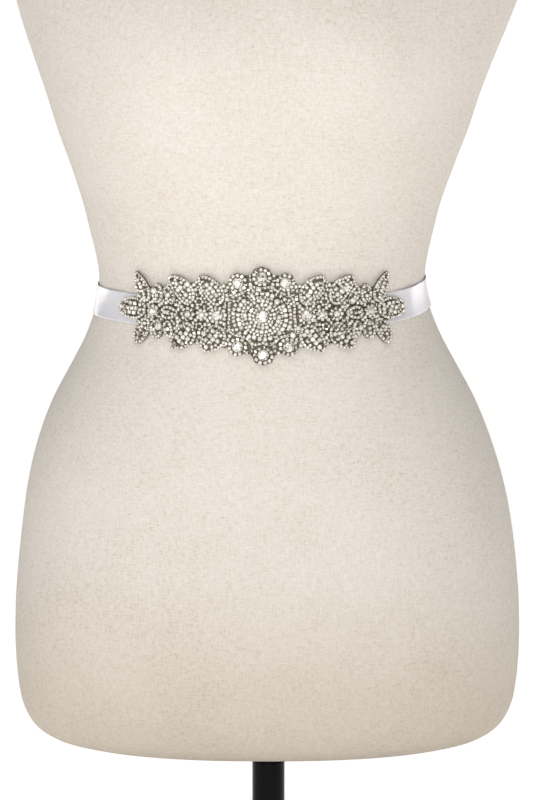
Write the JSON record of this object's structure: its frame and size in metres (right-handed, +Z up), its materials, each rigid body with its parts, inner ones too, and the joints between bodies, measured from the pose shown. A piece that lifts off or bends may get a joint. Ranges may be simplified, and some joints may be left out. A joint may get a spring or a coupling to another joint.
{
  "type": "rhinestone belt on dress form",
  "caption": "Narrow satin ribbon belt with a long rhinestone applique, tied round the waist of a limbless dress form on a round counter stand.",
  "frame": {"origin": "centre of the stand base's underside, on the surface it stands on", "axes": "+Z up along the pole, -Y out of the form's front where the applique is, +X to the right as seen from the front"},
  "size_m": [0.391, 0.3, 1.0113],
  "materials": {
    "form_linen": "matt cream linen-look jersey with fine slubs across",
    "ribbon_satin": "white satin with a soft sheen",
    "applique_rhinestone": "clear faceted stones over foil in small metal cups",
    "stand_black": "black, semi-gloss"
  },
  "bodies": {
    "root": {"base": "stand_black", "bead_flower_left": "applique_rhinestone", "bead_flower_right": "applique_rhinestone", "bead_link_left": "applique_rhinestone", "bead_link_right": "applique_rhinestone", "bead_lower_left": "applique_rhinestone", "bead_lower_right": "applique_rhinestone", "bead_mid_left": "applique_rhinestone", "bead_mid_right": "applique_rhinestone", "bead_upper_left": "applique_rhinestone", "bead_upper_right": "applique_rhinestone", "cluster_bottom": "applique_rhinestone", "cluster_lower_left": "applique_rhinestone", "cluster_lower_right": "applique_rhinestone", "cluster_side_left": "applique_rhinestone", "cluster_side_right": "applique_rhinestone", "cluster_top": "applique_rhinestone", "cluster_upper_left": "applique_rhinestone", "cluster_upper_right": "applique_rhinestone", "leaf_inner_lower_left": "applique_rhinestone", "leaf_inner_lower_right": "applique_rhinestone", "leaf_inner_upper_left": "applique_rhinestone", "leaf_inner_upper_right": "applique_rhinestone", "leaf_outer_lower_left": "applique_rhinestone", "leaf_outer_lower_right": "applique_rhinestone", "leaf_outer_upper_left": "applique_rhinestone", "leaf_outer_upper_right": "applique_rhinestone", "medallion": "applique_rhinestone", "neck_cap": "form_linen", "petal_down_in_left": "applique_rhinestone", "petal_down_in_right": "applique_rhinestone", "petal_down_left": "applique_rhinestone", "petal_down_out_left": "applique_rhinestone", "petal_down_out_right": "applique_rhinestone", "petal_down_right": "applique_rhinestone", "petal_in_left": "applique_rhinestone", "petal_in_right": "applique_rhinestone", "petal_out_left": "applique_rhinestone", "petal_out_right": "applique_rhinestone", "petal_up_in_left": "applique_rhinestone", "petal_up_in_right": "applique_rhinestone", "petal_up_left": "applique_rhinestone", "petal_up_out_left": "applique_rhinestone", "petal_up_out_right": "applique_rhinestone", "petal_up_right": "applique_rhinestone", "pole": "stand_black", "ribbon_front": "ribbon_satin", "ribbon_knot": "ribbon_satin", "ribbon_left": "ribbon_satin", "ribbon_right": "ribbon_satin", "ribbon_tail_left": "ribbon_satin", "ribbon_tail_right": "ribbon_satin", "socket": "stand_black", "torso": "form_linen"}
  },
  "joints": []
}
